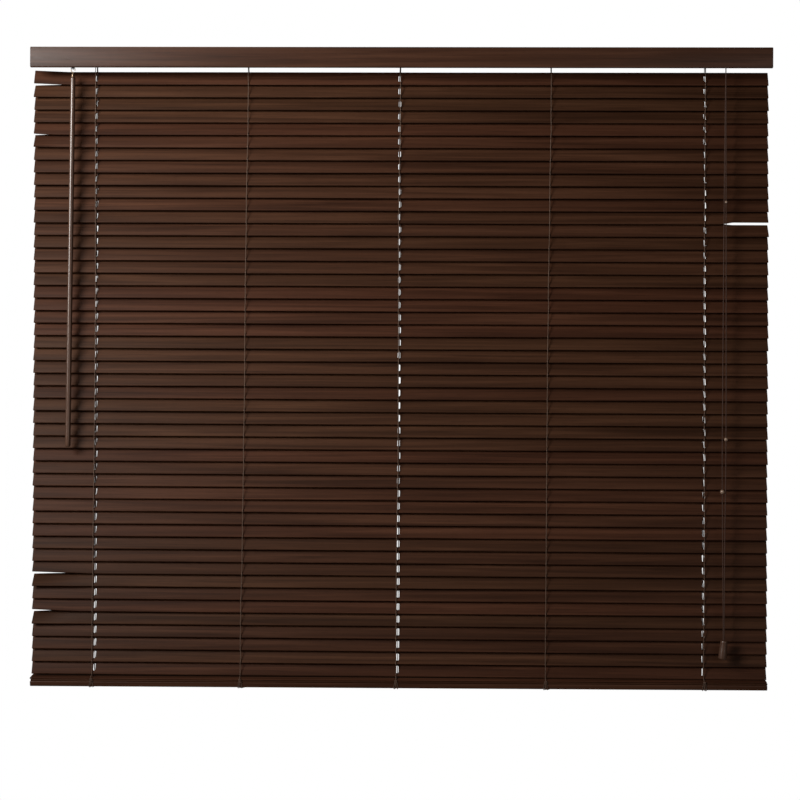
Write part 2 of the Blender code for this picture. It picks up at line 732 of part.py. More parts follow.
def main():
    clear_scene()
    parts = make_collection("slat_blind")
    cutters = make_collection("cutters")
    wood = make_material("walnut_slat", (0.052, 0.028, 0.018), 0.38)
    rail_wood = make_material("walnut_rail", (0.058, 0.032, 0.021), 0.38)
    steel = make_material("painted_steel", (0.045, 0.028, 0.020), 0.45)
    bright_steel = make_material("zinc_steel", (0.55, 0.55, 0.56), 0.35, 1.0)
    brass = make_material("bronzed_wire", (0.16, 0.10, 0.06), 0.35, 1.0)
    plastic = make_material("brown_plastic", (0.050, 0.032, 0.024), 0.5)
    cord = make_material("brown_cord", (0.10, 0.065, 0.045), 0.9)
    make_slats(parts, cutters, wood)
    make_bottom_rail(parts, cutters, rail_wood)
    make_headrail(parts, cutters, steel)
    make_valance(parts, rail_wood)
    make_tilt_rod(parts, cutters, bright_steel)
    make_tilter(parts, cutters, plastic)
    make_cord_lock(parts, cutters, bright_steel)
    make_lift_cords(parts, cutters, cord)
    make_tassel(parts, rail_wood)
    make_wand_hook(parts, cutters, brass)
    make_wand(parts, rail_wood)
    make_ladder_string("ladder_front", -1, parts, cord)
    make_ladder_string("ladder_back", 1, parts, cord)


main()
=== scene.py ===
import math
import random

import bmesh
import bpy
from mathutils import Matrix, Vector


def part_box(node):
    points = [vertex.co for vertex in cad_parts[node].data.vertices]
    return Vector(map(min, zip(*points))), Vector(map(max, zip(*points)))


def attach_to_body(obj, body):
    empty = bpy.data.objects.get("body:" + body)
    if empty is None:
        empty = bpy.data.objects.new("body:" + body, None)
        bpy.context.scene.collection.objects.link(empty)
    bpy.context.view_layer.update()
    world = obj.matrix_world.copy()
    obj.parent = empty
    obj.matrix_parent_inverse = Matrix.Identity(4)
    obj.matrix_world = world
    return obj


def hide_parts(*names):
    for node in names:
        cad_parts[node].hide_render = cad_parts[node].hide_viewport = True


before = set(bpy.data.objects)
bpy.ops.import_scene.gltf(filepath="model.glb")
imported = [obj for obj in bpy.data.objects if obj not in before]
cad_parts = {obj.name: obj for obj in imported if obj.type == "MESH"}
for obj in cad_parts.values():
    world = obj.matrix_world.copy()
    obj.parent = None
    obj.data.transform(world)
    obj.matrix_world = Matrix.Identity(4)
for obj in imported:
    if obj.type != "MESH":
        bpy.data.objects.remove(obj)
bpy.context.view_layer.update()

# Sizes in metres, the same as the CAD part's
SLAT_COUNT = 48
SLAT_LENGTH = 1.255
SLAT_WIDTH = 0.025
SLAT_THICKNESS = 0.0028
SLAT_EDGE_RADIUS = 0.0012
SLAT_END_INSET = 0.0004
SLAT_PITCH = 0.0215
SLAT_Y = -0.0165
FIRST_SLAT_Z = -0.0345
LAST_SLAT_Z = FIRST_SLAT_Z - (SLAT_COUNT - 1) * SLAT_PITCH
CLOSED_ANGLE = math.radians(70)
LADDER_X = (-0.52, -0.26, 0.0, 0.26, 0.52)
LIFT_X = LADDER_X[::2]
SLOT_WIDTH = 0.0042
SLOT_LENGTH = 0.0130
EDGE_ARM = SLAT_WIDTH / 2 - SLAT_THICKNESS / 2
STRING_RADIUS = 0.0006
STRING_TAIL = 0.0155
CORD_RADIUS = 0.0008
CORD_BEND = 0.004
STRING_STAND_OFF = 0.0009
STRING_OUT = EDGE_ARM * math.cos(CLOSED_ANGLE) + SLAT_THICKNESS / 2 + STRING_STAND_OFF
STRING_TRAVEL = 2 * EDGE_ARM * math.sin(CLOSED_ANGLE)
SLAT_REACH = SLAT_WIDTH / 2 * math.sin(CLOSED_ANGLE) + SLAT_THICKNESS / 2 * math.cos(CLOSED_ANGLE)
RAIL_LENGTH = 1.256
RAIL_WIDTH = 0.0254
RAIL_HEIGHT = 0.0090
RAIL_TILT = math.radians(6)
STACK_GAP = 0.0003
STACK_HEIGHT = RAIL_HEIGHT + 2 * (SLAT_THICKNESS + STACK_GAP)
STACK_DROP = 0.0021
RAIL_Z = LAST_SLAT_Z - SLAT_REACH - STACK_DROP - STACK_HEIGHT / 2
RAIL_REACH = RAIL_WIDTH / 2 * math.cos(RAIL_TILT) + STACK_HEIGHT / 2 * math.sin(RAIL_TILT)
TAIL_OUT = RAIL_REACH + 2 * STRING_RADIUS
HEADRAIL_LENGTH = 1.250
HEADRAIL_DEPTH = 0.033
HEADRAIL_HEIGHT = 0.024
HEADRAIL_BOTTOM = -HEADRAIL_HEIGHT / 2
HEADRAIL_FLOOR = -0.0112
CORD_RUN_Z = HEADRAIL_FLOOR + CORD_RADIUS + 0.0006
ROD_Z = 0.0005
CONTROL_Y = -0.0375
TILTER_X = -0.5575
CORD_LOCK_X = 0.551
EYE_Z = -0.021
WAND_LENGTH = 0.630
WAND_RADIUS = 0.0045
WAND_LEAN = math.radians(0.5)
HOOK_LENGTH = 0.0157
PULL_CORD_DROP = 0.975
TASSEL_LEAN = math.radians(5)
TASSEL_HEIGHT = 0.0310
TASSEL_TOP_RADIUS = 0.0061
TASSEL_FOOT_RADIUS = 0.0073
TASSEL_SIDEWAYS = 0.0017

# The camera stands a little right of the blind's middle, turned a degree to the left and rolled a third
# of a degree
CAMERA_PLACE = (0.0511, -2.6165, -0.5874)
CAMERA_TURN = (math.radians(90.075), math.radians(-0.306), math.radians(1.072))
CAMERA_LENS = 68.4
SENSOR_WIDTH = 36.0

# Edges sharper than this are shaded as edges
SHARP_EDGE = math.radians(38)

chance = random.Random(7)


# ---------------------------------------------------------------- materials


def new_material(name):
    made = bpy.data.materials.new(name)
    made.use_nodes = True
    tree = made.node_tree
    return made, tree, tree.nodes["Principled BSDF"]


def node(tree, kind, **settings):
    made = tree.nodes.new(kind)
    for key, value in settings.items():
        setattr(made, key, value)
    return made


def mapped(tree, source, scale):
    mapping = node(tree, "ShaderNodeMapping")
    mapping.inputs["Scale"].default_value = scale
    tree.links.new(source, mapping.inputs["Vector"])
    return mapping.outputs["Vector"]


def noise(tree, vector, scale, detail, roughness=0.5, distortion=0.0):
    made = node(tree, "ShaderNodeTexNoise")
    made.inputs["Scale"].default_value = scale
    made.inputs["Detail"].default_value = detail
    made.inputs["Roughness"].default_value = roughness
    made.inputs["Distortion"].default_value = distortion
    tree.links.new(vector, made.inputs["Vector"])
    return made.outputs["Fac"]


def ramp(tree, factor, stops):
    made = node(tree, "ShaderNodeValToRGB")
    elements = made.color_ramp.elements
    while len(elements) < len(stops):
        elements.new(0.5)
    for element, (place, colour) in zip(elements, stops):
        element.position = place
        element.color = (*colour, 1.0)
    tree.links.new(factor, made.inputs["Fac"])
    return made.outputs["Color"]


def spread(tree, factor, low_in, high_in, low_out, high_out):
    made = node(tree, "ShaderNodeMapRange")
    for key, value in (
        ("From Min", low_in),
        ("From Max", high_in),
        ("To Min", low_out),
        ("To Max", high_out),
    ):
        made.inputs[key].default_value = value
    tree.links.new(factor, made.inputs["Value"])
    return made.outputs["Result"]


def blended(tree, factor, first, second, mode="MIX"):
    made = node(tree, "ShaderNodeMix", data_type="RGBA", blend_type=mode)
    for socket, value in ((made.inputs[0], factor), (made.inputs[6], first), (made.inputs[7], second)):
        if isinstance(value, float):
            socket.default_value = value
        elif isinstance(value, tuple):
            socket.default_value = (*value, 1.0)
        else:
            tree.links.new(value, socket)
    return made.outputs[2]


def bump(tree, height, strength, distance, below=None):
    made = node(tree, "ShaderNodeBump")
    made.inputs["Strength"].default_value = strength
    made.inputs["Distance"].default_value = distance
    tree.links.new(height, made.inputs["Height"])
    if below is not None:
        tree.links.new(below, made.inputs["Normal"])
    return made.outputs["Normal"]


def wood(name, dark, middle, light, roughness, coat, gloss):
    """Stained wood under a satin lacquer, its grain running along the UV map's first axis in metres."""
    made, tree, shader = new_material(name)
    uv = node(tree, "ShaderNodeUVMap", uv_map="board").outputs["UV"]
    figure = noise(tree, mapped(tree, uv, (2.2, 95.0, 1.0)), 1.0, 4.0, 0.55, 0.6)
    grain = noise(tree, mapped(tree, uv, (9.0, 900.0, 1.0)), 1.0, 5.0, 0.62, 0.2)
    pores = noise(tree, mapped(tree, uv, (60.0, 2600.0, 1.0)), 1.0, 2.0, 0.5)
    colour = ramp(tree, figure, ((0.30, dark), (0.50, middle), (0.72, light)))
    fine_stops = ((0.28, (0.62, 0.60, 0.58)), (0.50, (0.95, 0.95, 0.95)), (0.75, (1.22, 1.20, 1.16)))
    fine = ramp(tree, grain, fine_stops)
    colour = blended(tree, 0.85, colour, fine, "MULTIPLY")
    pore_mask = spread(tree, pores, 0.60, 0.72, 0.0, 0.55)
    colour = blended(tree, pore_mask, colour, tuple(0.35 * c for c in dark))
    tone = node(tree, "ShaderNodeAttribute", attribute_name="tone")
    value = spread(tree, tone.outputs["Fac"], 0.0, 1.0, 0.80, 1.20)
    shade = node(tree, "ShaderNodeCombineColor")
    for channel in ("Red", "Green", "Blue"):
        tree.links.new(value, shade.inputs[channel])
    colour = blended(tree, 1.0, colour, shade.outputs["Color"], "MULTIPLY")
    hue = node(tree, "ShaderNodeAttribute", attribute_name="hue")
    tint_stops = ((0.0, (1.10, 0.94, 0.92)), (0.5, (1.0, 1.0, 1.0)), (1.0, (0.92, 1.02, 0.90)))
    tint = ramp(tree, hue.outputs["Fac"], tint_stops)
    colour = blended(tree, 1.0, colour, tint, "MULTIPLY")
    tree.links.new(colour, shader.inputs["Base Color"])
    rough = spread(tree, grain, 0.2, 0.8, roughness + 0.07, roughness - 0.06)
    tree.links.new(rough, shader.inputs["Roughness"])
    shader.inputs["Coat Weight"].default_value = coat
    shader.inputs["Coat Roughness"].default_value = 0.34
    shader.inputs["Specular IOR Level"].default_value = gloss
    relief = bump(tree, grain, 0.25, 0.0002)
    relief = bump(tree, pores, 0.12, 0.0001, relief)
    tree.links.new(relief, shader.inputs["Normal"])
    return made


def fibre(name, base, pale):
    """Braided cord: fine slanting strands round and along the UV map."""
    made, tree, shader = new_material(name)
    uv = node(tree, "ShaderNodeUVMap", uv_map="board").outputs["UV"]
    waves = []
    for slant in (1.0, -1.0):
        turn = node(tree, "ShaderNodeMapping")
        turn.inputs["Scale"].default_value = (900.0, 1200.0 * slant, 1.0)
        tree.links.new(uv, turn.inputs["Vector"])
        wave = node(tree, "ShaderNodeTexWave", wave_type="BANDS", bands_direction="DIAGONAL")
        wave.inputs["Scale"].default_value = 0.35
        wave.inputs["Distortion"].default_value = 0.4
        tree.links.new(turn.outputs["Vector"], wave.inputs["Vector"])
        waves.append(wave.outputs["Fac"])
    braid = node(tree, "ShaderNodeMath", operation="MAXIMUM")
    tree.links.new(waves[0], braid.inputs[0])
    tree.links.new(waves[1], braid.inputs[1])
    fuzz = noise(tree, mapped(tree, uv, (400.0, 900.0, 1.0)), 1.0, 3.0, 0.6)
    colour = ramp(tree, braid.outputs[0], ((0.25, base), (0.9, pale)))
    shade = ramp(tree, fuzz, ((0.3, (0.75, 0.75, 0.75)), (0.7, (1.15, 1.15, 1.15))))
    colour = blended(tree, 0.8, colour, shade, "MULTIPLY")
    tree.links.new(colour, shader.inputs["Base Color"])
    shader.inputs["Roughness"].default_value = 0.72
    shader.inputs["Sheen Weight"].default_value = 0.35
    shader.inputs["Sheen Roughness"].default_value = 0.4
    relief = bump(tree, braid.outputs[0], 0.8, 0.0002)
    tree.links.new(relief, shader.inputs["Normal"])
    return made


def metal(name, base, worn, roughness, brushed=True, metallic=1.0):
    """Plated or painted metal with fine lengthwise lines, cloudy sheen and worn specks."""
    made, tree, shader = new_material(name)
    place = node(tree, "ShaderNodeTexCoord").outputs["Object"]
    lines_scale = (12.0, 900.0, 900.0) if brushed else (260.0, 260.0, 260.0)
    lines = noise(tree, mapped(tree, place, lines_scale), 1.0, 4.0, 0.6)
    clouds = noise(tree, mapped(tree, place, (30.0, 60.0, 60.0)), 1.0, 4.0, 0.55)
    specks = noise(tree, mapped(tree, place, (700.0, 700.0, 700.0)), 1.0, 3.0, 0.7)
    colour = blended(tree, spread(tree, clouds, 0.35, 0.7, 0.0, 0.6), base, worn)
    dark = tuple(0.55 * c for c in base)
    colour = blended(tree, spread(tree, specks, 0.62, 0.72, 0.0, 0.7), colour, dark)
    tree.links.new(colour, shader.inputs["Base Color"])
    rough = spread(tree, lines, 0.25, 0.75, roughness - 0.08, roughness + 0.10)
    tree.links.new(rough, shader.inputs["Roughness"])
    shader.inputs["Metallic"].default_value = metallic
    relief = bump(tree, lines, 0.18, 0.0001)
    tree.links.new(relief, shader.inputs["Normal"])
    return made


def moulded(name, base, roughness):
    """Moulded plastic: fine pebbled skin, slight colour clouds and scuffs."""
    made, tree, shader = new_material(name)
    place = node(tree, "ShaderNodeTexCoord").outputs["Object"]
    pebble = noise(tree, mapped(tree, place, (1500.0, 1500.0, 1500.0)), 1.0, 2.0, 0.5)
    clouds = noise(tree, mapped(tree, place, (70.0, 70.0, 70.0)), 1.0, 3.0, 0.5)
    scuffs = noise(tree, mapped(tree, place, (90.0, 800.0, 500.0)), 1.0, 4.0, 0.7)
    pale = tuple(min(1.0, 1.5 * c + 0.02) for c in base)
    colour = blended(tree, spread(tree, clouds, 0.3, 0.75, 0.0, 0.35), base, pale)
    colour = blended(tree, spread(tree, scuffs, 0.62, 0.75, 0.0, 0.35), colour, pale)
    tree.links.new(colour, shader.inputs["Base Color"])
    rough = spread(tree, scuffs, 0.3, 0.7, roughness - 0.06, roughness + 0.10)
    tree.links.new(rough, shader.inputs["Roughness"])
    relief = bump(tree, pebble, 0.22, 0.0001)
    tree.links.new(relief, shader.inputs["Normal"])
    return made


slat_wood = wood(
    "slat_wood",
    (0.034, 0.0132, 0.0066),
    (0.060, 0.0245, 0.0128),
    (0.094, 0.0405, 0.0222),
    roughness=0.50,
    coat=0.03,
    gloss=0.10,
)
board_wood = wood(
    "board_wood",
    (0.034, 0.0136, 0.0070),
    (0.060, 0.0250, 0.0135),
    (0.092, 0.0410, 0.0230),
    roughness=0.34,
    coat=0.10,
    gloss=0.25,
)
turned_wood = wood(
    "turned_wood",
    (0.060, 0.0290, 0.0180),
    (0.092, 0.0470, 0.0300),
    (0.140, 0.0760, 0.0500),
    roughness=0.24,
    coat=0.7,
    gloss=0.5,
)
bead_wood = wood(
    "bead_wood",
    (0.22, 0.150, 0.110),
    (0.32, 0.230, 0.170),
    (0.44, 0.330, 0.250),
    roughness=0.22,
    coat=0.9,
    gloss=0.5,
)
cord_fibre = fibre("cord_fibre", (0.055, 0.030, 0.019), (0.165, 0.102, 0.070))
pull_fibre = fibre("pull_fibre", (0.030, 0.013, 0.008), (0.085, 0.040, 0.026))
headrail_paint = metal("headrail_paint", (0.040, 0.024, 0.017), (0.060, 0.040, 0.030), 0.42, True, 0.0)
zinc_steel = metal("zinc_steel", (0.52, 0.52, 0.54), (0.62, 0.61, 0.58), 0.34)
bronzed_wire = metal("bronzed_wire", (0.30, 0.22, 0.15), (0.42, 0.33, 0.24), 0.30, False)
brown_plastic = moulded("brown_plastic", (0.042, 0.026, 0.019), 0.46)
drum_plastic = moulded("drum_plastic", (0.62, 0.60, 0.55), 0.40)


# ---------------------------------------------------------------- mesh helpers


def mesh_from(name, corners, faces, coords, material, smooth=True):
    """A mesh object at the origin, with a UV map in metres given per face corner."""
    mesh = bpy.data.meshes.new(name)
    mesh.from_pydata(corners, [], faces)
    layer = mesh.uv_layers.new(name="board")
    flat = [value for face in coords for pair in face for value in pair]
    layer.data.foreach_set("uv", flat)
    made = bpy.data.objects.new(name, mesh)
    bpy.context.scene.collection.objects.link(made)
    mesh.materials.append(material)
    if smooth:
        mesh.shade_smooth()
        mesh.set_sharp_from_angle(angle=SHARP_EDGE)
    return made


def set_tone(obj, tone, hue):
    """Gives the whole piece its own share of light or dark and of red or green."""
    for name, value in (("tone", tone), ("hue", hue)):
        layer = obj.data.attributes.new(name, "FLOAT", "POINT")
        layer.data.foreach_set("value", [value] * len(obj.data.vertices))


def place_mesh(obj, matrix):
    obj.data.transform(matrix)
    return obj


def rounded_outline(width, height, radius, steps):
    """Points round a rectangle with rounded corners, anticlockwise from the right side."""
    outline = []
    centres = (
        (width / 2 - radius, height / 2 - radius, 0.0),
        (-width / 2 + radius, height / 2 - radius, 90.0),
        (-width / 2 + radius, -height / 2 + radius, 180.0),
        (width / 2 - radius, -height / 2 + radius, 270.0),
    )
    for centre_u, centre_v, start in centres:
        for step in range(steps + 1):
            angle = math.radians(start + 90.0 * step / steps)
            outline.append((centre_u + radius * math.cos(angle), centre_v + radius * math.sin(angle)))
    return outline


def lengths_along(points):
    """How far along each point is, from the first one, with the closing length at the end."""
    total = 0.0
    found = [0.0]
    for here, there in zip(points, [*points[1:], points[0]]):
        total += math.dist(here, there)
        found.append(total)
    return found


def drawn_in(value, inset):
    """A value brought nearer to 0 by the inset, unless it is that near already."""
    if abs(value) > inset:
        return value * (1 - inset / abs(value))
    return value


def board(name, length, outline, inset, stations, material, uv_shift=(0.0, 0.0)):
    """A board along X with the given outline, its end edges rounded by a small inset."""
    half = length / 2
    inner = [(drawn_in(u, inset), drawn_in(v, inset)) for u, v in outline]
    places = [-half, -half + inset]
    places += [-half + length * step / stations for step in range(1, stations)]
    places += [half - inset, half]
    count = len(outline)
    around = lengths_along(outline)
    corners = []
    for index, x in enumerate(places):
        ring = inner if index in (0, len(places) - 1) else outline
        corners += [(x, u, v) for u, v in ring]
    faces = []
    coords = []
    for index in range(len(places) - 1):
        for side in range(count):
            after = (side + 1) % count
            a = index * count
            b = a + count
            faces.append((a + side, a + after, b + after, b + side))
            pairs = (
                (places[index], around[side]),
                (places[index], around[side + 1]),
                (places[index + 1], around[side + 1]),
                (places[index + 1], around[side]),
            )
            coords.append([(x + uv_shift[0], v + uv_shift[1]) for x, v in pairs])
    for base, flip in ((0, True), ((len(places) - 1) * count, False)):
        cap = [base + side for side in range(count)]
        ring = [(u + uv_shift[0], v + uv_shift[1]) for u, v in inner]
        if flip:
            cap.reverse()
            ring.reverse()
        faces.append(tuple(cap))
        coords.append(ring)
    return mesh_from(name, corners, faces, coords, material)


def tube(name, route, radius, material, sides=10, radii=None):
    """A closed round tube along the route, with rounded ends."""
    points = [Vector(point) for point in route]
    directions = []
    for index in range(len(points)):
        before = points[max(index - 1, 0)]
        after = points[min(index + 1, len(points) - 1)]
        directions.append((after - before).normalized())
    side = directions[0].orthogonal().normalized()
    corners = []
    faces = []
    coords = []
    total = 0.0
    along = []
    for index, (point, direction) in enumerate(zip(points, directions)):
        if index:
            side = (side - direction * side.dot(direction)).normalized()
            total += (point - points[index - 1]).length
        along.append(total)
        other = direction.cross(side)
        here = radii[index] if radii else radius
        for step in range(sides):
            angle = 2 * math.pi * step / sides
            corners.append(point + here * (math.cos(angle) * side + math.sin(angle) * other))
    for index in range(len(points) - 1):
        for step in range(sides):
            after = (step + 1) % sides
            a = index * sides
            b = a + sides
            faces.append((a + step, a + after, b + after, b + step))
            low = radius * 2 * math.pi * step / sides
            high = radius * 2 * math.pi * (step + 1) / sides
            here = along[index]
            there = along[index + 1]
            coords.append([(here, low), (here, high), (there, high), (there, low)])
    ends = ((0, -directions[0], True), ((len(points) - 1) * sides, directions[-1], False))
    for base, direction, flip in ends:
        tip = len(corners)
        end_radius = (corners[base] - points[0 if flip else -1]).length
        corners.append((points[0] if flip else points[-1]) + direction * end_radius * 0.4)
        for step in range(sides):
            after = (step + 1) % sides
            face = (base + after, base + step, tip) if flip else (base + step, base + after, tip)
            faces.append(face)
            coords.append([(0.0, 0.0), (radius, 0.0), (0.0, radius)])
    return mesh_from(name, corners, faces, coords, material)


def lathe(name, profile, sides, material):
    """A shape turned about Z from (radius, height) points. Points on the axis close it."""
    corners = []
    rings = []
    for radius, height in profile:
        if radius < 1e-6:
            rings.append([len(corners)])
            corners.append((0, 0, height))
        else:
            ring = []
            for step in range(sides):
                angle = 2 * math.pi * step / sides
                ring.append(len(corners))
                corners.append((radius * math.cos(angle), radius * math.sin(angle), height))
            rings.append(ring)
    faces = []
    coords = []
    along = lengths_along([(radius, height) for radius, height in profile])
    widest = max(radius for radius, height in profile)
    for index in range(len(rings) - 1):
        upper = rings[index]
        lower = rings[index + 1]
        for step in range(sides):
            after = (step + 1) % sides
            u0 = along[index]
            u1 = along[index + 1]
            v0 = widest * 2 * math.pi * step / sides
            v1 = widest * 2 * math.pi * (step + 1) / sides
            if len(upper) == 1 and len(lower) == 1:
                continue
            if len(upper) == 1:
                faces.append((upper[0], lower[step], lower[after]))
                coords.append([(u0, v0), (u1, v0), (u1, v1)])
            elif len(lower) == 1:
                faces.append((upper[step], lower[0], upper[after]))
                coords.append([(u0, v0), (u1, v0), (u0, v1)])
            else:
                faces.append((upper[step], lower[step], lower[after], upper[after]))
                coords.append([(u0, v0), (u1, v0), (u1, v1), (u0, v1)])
    return mesh_from(name, corners, faces, coords, material)


def smooth_route(points, steps):
    """Points along a Catmull-Rom curve through the given points."""
    knots = [Vector(point) for point in points]
    knots = [2 * knots[0] - knots[1], *knots, 2 * knots[-1] - knots[-2]]
    route = []
    for before, start, end, after in zip(knots, knots[1:], knots[2:], knots[3:]):
        for step in range(steps):
            t = step / steps
            slope_in = (end - before) / 2
            slope_out = (after - start) / 2
            a = 2 * t**3 - 3 * t**2 + 1
            b = t**3 - 2 * t**2 + t
            c = -2 * t**3 + 3 * t**2
            d = t**3 - t**2
            route.append(a * start + b * slope_in + c * end + d * slope_out)
    route.append(knots[-2])
    return route


def attach(obj, body, slot, *nodes):
    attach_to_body(obj, body)
    if nodes:
        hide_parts(*nodes)
    return obj


def joined(name, pieces):
    """Makes one object of several pieces that are one thing."""
    first = pieces[0]
    with bpy.context.temp_override(active_object=first, selected_editable_objects=pieces):
        bpy.ops.object.join()
    first.name = name
    first.data.name = name
    return first


# ---------------------------------------------------------------- camera, light, floor


def aim(obj, target):
    direction = Vector(target) - obj.location
    obj.rotation_euler = direction.to_track_quat("-Z", "Y").to_euler()


def area_light(name, place, target, width, height, power, colour=(1, 1, 1), spread_angle=180):
    data = bpy.data.lights.new(name, "AREA")
    data.spread = math.radians(spread_angle)
    data.shape = "RECTANGLE"
    data.size = width
    data.size_y = height
    data.energy = power
    data.color = colour
    made = bpy.data.objects.new(name, data)
    made.location = place
    bpy.context.scene.collection.objects.link(made)
    aim(made, target)
    return made


def set_stage():
    data = bpy.data.cameras.new("camera")
    data.lens = CAMERA_LENS
    data.sensor_width = SENSOR_WIDTH
    data.dof.use_dof = False
    camera = bpy.data.objects.new("camera", data)
    camera.location = CAMERA_PLACE
    camera.rotation_euler = CAMERA_TURN
    bpy.context.scene.collection.objects.link(camera)
    bpy.context.scene.camera = camera

    area_light("key_light", (-1.9, -1.75, 0.35), (-0.15, 0, -0.32), 0.9, 1.2, 14.0, (1.0, 0.95, 0.90), 84)
    area_light("top_light", (-1.35, -1.85, 0.45), (-0.62, 0, 0.0), 0.3, 0.3, 1.6, (1.0, 0.985, 0.965), 60)
    area_light("fill_light", (1.6, -2.6, -0.2), (0.1, 0, -0.5), 1.6, 1.6, 2.4, (1.0, 0.95, 0.90), 100)

    world = bpy.data.worlds.new("studio")
    world.use_nodes = True
    tree = world.node_tree
    background = tree.nodes["Background"]
    rays = node(tree, "ShaderNodeLightPath")
    strength = spread(tree, rays.outputs["Is Camera Ray"], 0.0, 1.0, 0.045, 1.0)
    tree.links.new(strength, background.inputs["Strength"])
    glow = blended(tree, rays.outputs["Is Camera Ray"], (1.0, 0.74, 0.55), (1.0, 1.0, 1.0))
    tree.links.new(glow, background.inputs["Color"])
    bpy.context.scene.world = world
    bpy.context.scene.view_settings.view_transform = "Standard"

    floor_mesh = bpy.data.meshes.new("floor")
    height = -2.2
    floor_corners = [(-2.5, -2.6, height), (2.5, -2.6, height), (2.5, 0.6, height), (-2.5, 0.6, height)]
    floor_mesh.from_pydata(floor_corners, [], [(0, 1, 2, 3)])
    floor = bpy.data.objects.new("floor", floor_mesh)
    bpy.context.scene.collection.objects.link(floor)
    floor_material, tree, shader = new_material("floor")
    place = node(tree, "ShaderNodeTexCoord").outputs["Object"]
    clouds = noise(tree, mapped(tree, place, (3.0, 3.0, 3.0)), 1.0, 3.0)
    pale = ramp(tree, clouds, ((0.3, (0.80, 0.80, 0.80)), (0.7, (0.86, 0.86, 0.86))))
    tree.links.new(pale, shader.inputs["Base Color"])
    shader.inputs["Roughness"].default_value = 0.7
    floor_mesh.materials.append(floor_material)


# ---------------------------------------------------------------- pull cords, beads and tassel


def strand_route(top, sway, foot_x):
    points = [top]
    for share, sideways in sway:
        points.append((CORD_LOCK_X + sideways, CONTROL_Y, HEADRAIL_BOTTOM - share * PULL_CORD_DROP))
    points.append((foot_x, CONTROL_Y, HEADRAIL_BOTTOM - PULL_CORD_DROP))
    return smooth_route(points, 6)


def route_x(route, height):
    """Where a hanging route is at a height."""
    for upper, lower in zip(route, route[1:]):
        if lower.z <= height <= upper.z:
            share = (upper.z - height) / (upper.z - lower.z)
            return upper.x + share * (lower.x - upper.x)
    return route[-1].x


def make_bead(name, route, height, diameter):
    """A turned bead threaded on a strand, with a hole that the cord goes into."""
    radius = diameter / 2
    hole = CORD_RADIUS + 0.0003
    profile = [(hole, radius * 0.55)]
    for step in range(1, 12):
        angle = math.radians(80 - 160 * step / 12)
        profile.append((max(hole, radius * math.cos(angle)), radius * math.sin(angle)))
    profile += [(hole, -radius * 0.55), (hole, radius * 0.55)]
    bead = lathe(name, profile, 28, bead_wood)
    set_tone(bead, 0.5, 0.4)
    place_mesh(bead, Matrix.Translation((route_x(route, height), CONTROL_Y, height)))
    return attach(bead, "root", "rail_wood")


def make_tassel(foot_x, top_z):
    height = TASSEL_HEIGHT
    top = TASSEL_TOP_RADIUS
    foot = TASSEL_FOOT_RADIUS
    hole = 0.0019
    profile = [
        (0, -0.0060),
        (hole, -0.0058),
        (hole, -0.0006),
        (hole + 0.0005, -0.0001),
        (top * 0.74, 0),
        (top * 0.90, -height * 0.010),
        (top * 0.985, -height * 0.030),
        (top, -height * 0.06),
        (top * 1.005, -height * 0.15),
        (top * 1.02, -height * 0.25),
        (top * 1.05, -height * 0.38),
        (top * 1.10, -height * 0.52),
        (top * 1.165, -height * 0.68),
        (foot * 0.97, -height * 0.82),
        (foot, -height * 0.92),
        (foot * 0.99, -height * 0.955),
        (foot * 0.95, -height * 0.985),
        (foot * 0.86, -height),
        (foot * 0.62, -height),
        (foot * 0.52, -height * 0.97),
        (foot * 0.48, -height * 0.85),
        (foot * 0.40, -height * 0.70),
        (0, -height * 0.68),
    ]
    tassel = lathe("tassel_body", profile, 40, turned_wood)
    set_tone(tassel, 0.5, 0.45)
    turn = Matrix.Rotation(TASSEL_LEAN, 4, "Y")
    place = Matrix.Translation((foot_x, CONTROL_Y, top_z))
    place_mesh(tassel, place @ turn)
    return attach(tassel, "root", "rail_wood", "tassel")


def make_pull_cord():
    run = CORD_RUN_Z
    foot_x = CORD_LOCK_X + TASSEL_SIDEWAYS
    first_top = (CORD_LOCK_X, CONTROL_Y, run - CORD_BEND * 0.6)
    second_top = (CORD_LOCK_X, CONTROL_Y, run - CORD_BEND)
    first = strand_route(first_top, ((0.235, 0.0015), (0.645, 0.0033), (0.82, 0.0022)), foot_x)
    second = strand_route(second_top, ((0.235, -0.0017), (0.645, -0.0028), (0.745, -0.0024)), foot_x - 0.0012)
    for name, route in (("pull_strand_1", first), ("pull_strand_2", second)):
        fine = smooth_route(route, 3)
        strand = tube(name, fine, CORD_RADIUS, pull_fibre, 10)
        attach(strand, "root", "cord_fibre", "lift_cords")
    beads = [
        make_bead("pull_bead_1", first, -0.2464, 0.0046),
        make_bead("pull_bead_2", first, -0.6480, 0.0064),
        make_bead("pull_bead_3", second, -0.7365, 0.0074),
    ]
    top_z = HEADRAIL_BOTTOM - PULL_CORD_DROP - 0.0003 - TASSEL_TOP_RADIUS * math.sin(TASSEL_LEAN)
    tassel = make_tassel(foot_x, top_z)
    knot_route = []
    for step in range(15):
        angle = 2 * math.pi * step / 7
        across = foot_x + 0.0007 * math.cos(angle)
        out = CONTROL_Y + 0.0007 * math.sin(angle)
        knot_route.append((across, out, top_z - 0.0012 - 0.00017 * step))
    knot = attach(tube("tassel_knot", knot_route, 0.0008, cord_fibre, 8), "root", "cord_fibre")


# ---------------------------------------------------------------- slats


